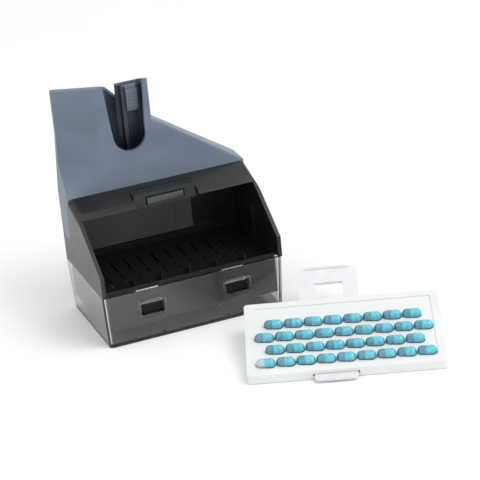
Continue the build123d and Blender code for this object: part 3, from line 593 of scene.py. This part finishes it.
def grow(name, points, tree, values, flags=None):
    """Run a tree on a mesh of points and return the plain mesh that it makes. flags gives
    each point's value of a named attribute."""
    seeds = bpy.data.meshes.new(name)
    seeds.from_pydata(points, [], [])
    for label, numbers in (flags or {}).items():
        seeds.attributes.new(label, "FLOAT", "POINT").data.foreach_set("value", numbers)
    holder = bpy.data.objects.new(name, seeds)
    bpy.context.scene.collection.objects.link(holder)
    modifier = holder.modifiers.new(name, "NODES")
    modifier.node_group = tree
    for socket in tree.interface.items_tree:
        if socket.in_out == "INPUT" and socket.name in values:
            modifier[socket.identifier] = values[socket.name]
    depsgraph = bpy.context.evaluated_depsgraph_get()
    made = bpy.data.meshes.new_from_object(
        holder.evaluated_get(depsgraph), preserve_all_data_layers=True, depsgraph=depsgraph
    )
    bpy.data.objects.remove(holder)
    shell = bmesh.new()
    shell.from_mesh(made)
    bmesh.ops.remove_doubles(shell, verts=shell.verts, dist=0.001 * MM)
    bmesh.ops.recalc_face_normals(shell, faces=shell.faces)
    shell.to_mesh(made)
    shell.free()
    for polygon in made.polygons:
        polygon.use_smooth = True
    made.set_sharp_from_angle(angle=math.radians(SMOOTH_BELOW))
    return made


# ---------------------------------------------------------------- reading the CAD pieces
def solids_of(node):
    """The separate solids of a CAD node, each as a list of its corner points."""
    shell = bmesh.new()
    shell.from_mesh(frame["nodes"][node].data)
    bmesh.ops.remove_doubles(shell, verts=shell.verts, dist=WELD)
    waiting = set(shell.verts)
    solids = []
    while waiting:
        group = []
        to_visit = [waiting.pop()]
        while to_visit:
            vertex = to_visit.pop()
            group.append(vertex.co.copy())
            for edge in vertex.link_edges:
                other = edge.other_vert(vertex)
                if other in waiting:
                    waiting.discard(other)
                    to_visit.append(other)
        solids.append(group)
    shell.free()
    return solids


def middle(points):
    """The middle of the box round some points."""
    lows = [min(point[axis] for point in points) for axis in range(3)]
    highs = [max(point[axis] for point in points) for axis in range(3)]
    return Vector([(low + high) / 2 for low, high in zip(lows, highs)])


def clean_copy(node):
    """A welded copy of a CAD node's mesh, with its flat faces made whole again."""
    mesh = frame["nodes"][node].data.copy()
    shell = bmesh.new()
    shell.from_mesh(mesh)
    bmesh.ops.remove_doubles(shell, verts=shell.verts, dist=WELD)
    bmesh.ops.dissolve_limit(
        shell, angle_limit=math.radians(0.5), verts=shell.verts, edges=shell.edges
    )
    shell.to_mesh(mesh)
    shell.free()
    return mesh


# ---------------------------------------------------------------- pieces
def settle(name, mesh, *nodes):
    """Put a finished mesh in the scene: it rides with, and stands for, the given CAD nodes."""
    slot = SLOT_OF[nodes[0]]
    piece = bpy.data.objects.new(name, mesh)
    bpy.context.scene.collection.objects.link(piece)
    mesh.materials.clear()
    mesh.materials.append(MATERIALS[slot])
    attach(piece, BODY_OF[nodes[0]])
    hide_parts(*nodes)
    return piece


def soften_edges(piece, radius_mm, angle):
    """Round a moulded piece's edges and shade it smoothly between them."""
    for polygon in piece.data.polygons:
        polygon.use_smooth = True
    rounded = piece.modifiers.new("mould_radius", "BEVEL")
    rounded.width = radius_mm * MM
    rounded.segments = 2
    rounded.limit_method = "ANGLE"
    rounded.angle_limit = math.radians(angle)
    even = piece.modifiers.new("face_normals", "WEIGHTED_NORMAL")
    even.keep_sharp = True
    even.weight = 60


# edge radius in millimetres, and the smallest turn in degrees between faces that it rounds
EDGES = {
    "clear_base": (0.45, 32),
    "bin_shell": (0.5, 32),
    "bin_floor": (0.06, 32),
    "back_panel": (0.3, 32),
    "snap_hook_left": (0.2, 32),
    "snap_hook_right": (0.2, 32),
    "latch_frame": (0.3, 32),
    "latch_button": (0.3, 32),
    "latch_spring": (0.08, 32),
    "hood_shell": (1.0, 11),
    "neck_divider": (0.25, 32),
    "guide_rails": (0.25, 32),
    "feed_slider": (0.3, 32),
    "slider_grip": (0.2, 32),
    "rear_cover": (0.3, 32),
    "rack_plate": (0.25, 32),
    "rack_frame": (0.4, 32),
    "gate_rail_left": (0.2, 32),
    "gate_rail_right": (0.2, 32),
    "gate_plate": (0.3, 32),
}
# pieces deep in the bin that take the darker black as painted shade
PAINTED_SHADE_NODES = ("bin_floor", "snap_hook_left", "snap_hook_right")


def moulded_pieces():
    """Each moulded CAD node again, with moulded edge radii in place of its sharp corners. The floor
    and the hooks take the darker matt black, painted shade for the inside of the bin, in place of
    their slot's polished black."""
    for node, (radius_mm, angle) in EDGES.items():
        piece = settle(f"{node}_moulded", clean_copy(node), node)
        soften_edges(piece, radius_mm, angle)
        if node in PAINTED_SHADE_NODES:
            piece.data.materials[0] = PAINTED_SHADE_BLACK


def capsules():
    """Two-part capsules in the rack's slots, at the places of the CAD capsules."""
    bodies = solids_of("capsule_bodies")
    caps = solids_of("capsule_caps")
    ends = [(middle(solid), solid) for solid in caps]
    pairs = [(body, min(ends, key=lambda end: (end[0] - middle(body)).length)) for body in bodies]
    axis = sum(
        ((end[0] - middle(body)).normalized() for body, end in pairs), Vector()
    ).normalized()
    centres = []
    for body, (cap_middle, cap) in pairs:
        reach = [point.dot(axis) for point in body + cap]
        around = (middle(body) + cap_middle) / 2
        centres.append(around + axis * ((min(reach) + max(reach)) / 2 - around.dot(axis)))
    first = min(range(len(centres)), key=lambda index: centres[index].dot(Vector((1.0, 1.0, 0.0))))
    lilac = [1.0 if index == first else 0.0 for index in range(len(centres))]
    tree = capsule_tree()
    for node, length, radius, groove, direction in (
        ("capsule_bodies", CAPSULE_LENGTH - CAP_LENGTH + BODY_IN_CAP, BODY_RADIUS, 0.0, axis),
        ("capsule_caps", CAP_LENGTH, CAP_RADIUS, SNAP_GROOVE, -axis),
    ):
        mesh = grow(
            node,
            centres,
            tree,
            {
                "Length": length * MM,
                "Radius": radius * MM,
                "Groove": groove * MM,
                "Turn": direction.to_track_quat("X", "Z").to_euler(),
                "Material": MATERIALS[SLOT_OF[node]],
            },
            {"lilac": lilac},
        )
        settle(f"{node}_dipped", mesh, node)


def screws(node, outward, head_radius, head_height):
    """Pan-head screws at the places of a CAD screw node, with their heads facing outward."""
    places = []
    for solid in solids_of(node):
        top = max(point.dot(outward) for point in solid)
        centre = middle(solid)
        places.append(centre + outward * (top - centre.dot(outward)))
    mesh = grow(
        node,
        places,
        screw_tree(),
        {
            "Length": head_height * MM,
            "Radius": head_radius * MM,
            "Turn": (-outward).to_track_quat("X", "Z").to_euler(),
            "Material": MATERIALS[SLOT_OF[node]],
        },
    )
    settle(f"{node}_pan_head", mesh, node)


def all_screws():
    """The rear cover's screws face back; the gate rails' screws face down out of the rack."""
    screws("cover_screws", Vector((0.0, 1.0, 0.0)), *COVER_HEAD)
    slope = Vector(next(
        joint["axis"] for joint in frame["record"]["behaviour"]["joints"]
        if joint["name"] == "gate_slide"
    )).normalized()
    level = Vector((slope.y, -slope.x, 0.0)).normalized()
    down = level.cross(slope)
    screws("gate_rail_screws", -down if down.z > 0 else down, *GATE_RAIL_HEAD)


# ---------------------------------------------------------------- studio
def studio():
    """A pale floor, a bright even world and two large soft lights."""
    bpy.ops.mesh.primitive_plane_add(size=FLOOR_SIZE, location=(0, 0, FLOOR_LEVEL))
    floor = bpy.context.object
    floor.name = "studio_floor"
    material, tree, where = new_material("pale_paper_floor")
    tone = add(tree, "ShaderNodeTexNoise", {"Vector": where, "Scale": per_mm(180.0)})
    colour = add(
        tree,
        "ShaderNodeValToRGB",
        {"Fac": tone.outputs["Fac"]},
        stops=[(0.3, "FAFAFA"), (0.7, "FCFCFC")],
    )
    shader = add(
        tree,
        "ShaderNodeBsdfPrincipled",
        {
            "Base Color": colour.outputs["Color"],
            "Roughness": 0.9,
            "Specular IOR Level": 0.1,
        },
    )
    add(tree, "ShaderNodeOutputMaterial", {"Surface": shader.outputs["BSDF"]})
    floor.data.materials.append(material)

    world = bpy.data.worlds.new("studio_world")
    bpy.context.scene.world = world
    world.use_nodes = True
    background = world.node_tree.nodes["Background"]
    background.inputs["Color"].default_value = (1.0, 1.0, 1.0, 1.0)
    background.inputs["Strength"].default_value = WORLD_STRENGTH

    for name, place, size, power in (
        ("key_light", (0.8, -0.9, 1.5), 1.2, 15.0),
        ("fill_light", (-1.3, -0.7, 1.1), 1.4, 3.0),
    ):
        light = bpy.data.lights.new(name, "AREA")
        light.size = size
        light.energy = power
        holder = bpy.data.objects.new(name, light)
        bpy.context.scene.collection.objects.link(holder)
        holder.location = place
        aim = LIGHT_AIM - Vector(place)
        holder.rotation_euler = aim.to_track_quat("-Z", "Y").to_euler()


def camera():
    """The camera at the unit's front left, above it and slightly rolled."""
    azimuth = math.radians(VIEW_AZIMUTH)
    elevation = math.radians(VIEW_ELEVATION)
    roll = math.radians(VIEW_ROLL)
    side = Vector((math.cos(azimuth), -math.sin(azimuth), 0.0))
    back = Vector((
        -math.sin(azimuth) * math.cos(elevation),
        -math.cos(azimuth) * math.cos(elevation),
        math.sin(elevation),
    ))
    rise = back.cross(side)
    right = side * math.cos(roll) - rise * math.sin(roll)
    upward = side * math.sin(roll) + rise * math.cos(roll)
    lens = bpy.data.cameras.new("product_camera")
    lens.lens = VIEW_LENS
    lens.clip_end = 20.0
    holder = bpy.data.objects.new("product_camera", lens)
    bpy.context.scene.collection.objects.link(holder)
    turn = Matrix((right, upward, back)).transposed().to_4x4()
    holder.matrix_world = Matrix.Translation(VIEW_TARGET + back * VIEW_DISTANCE) @ turn
    bpy.context.scene.camera = holder
    bpy.context.scene.view_settings.view_transform = "Standard"


moulded_pieces()
capsules()
all_screws()
studio()
camera()
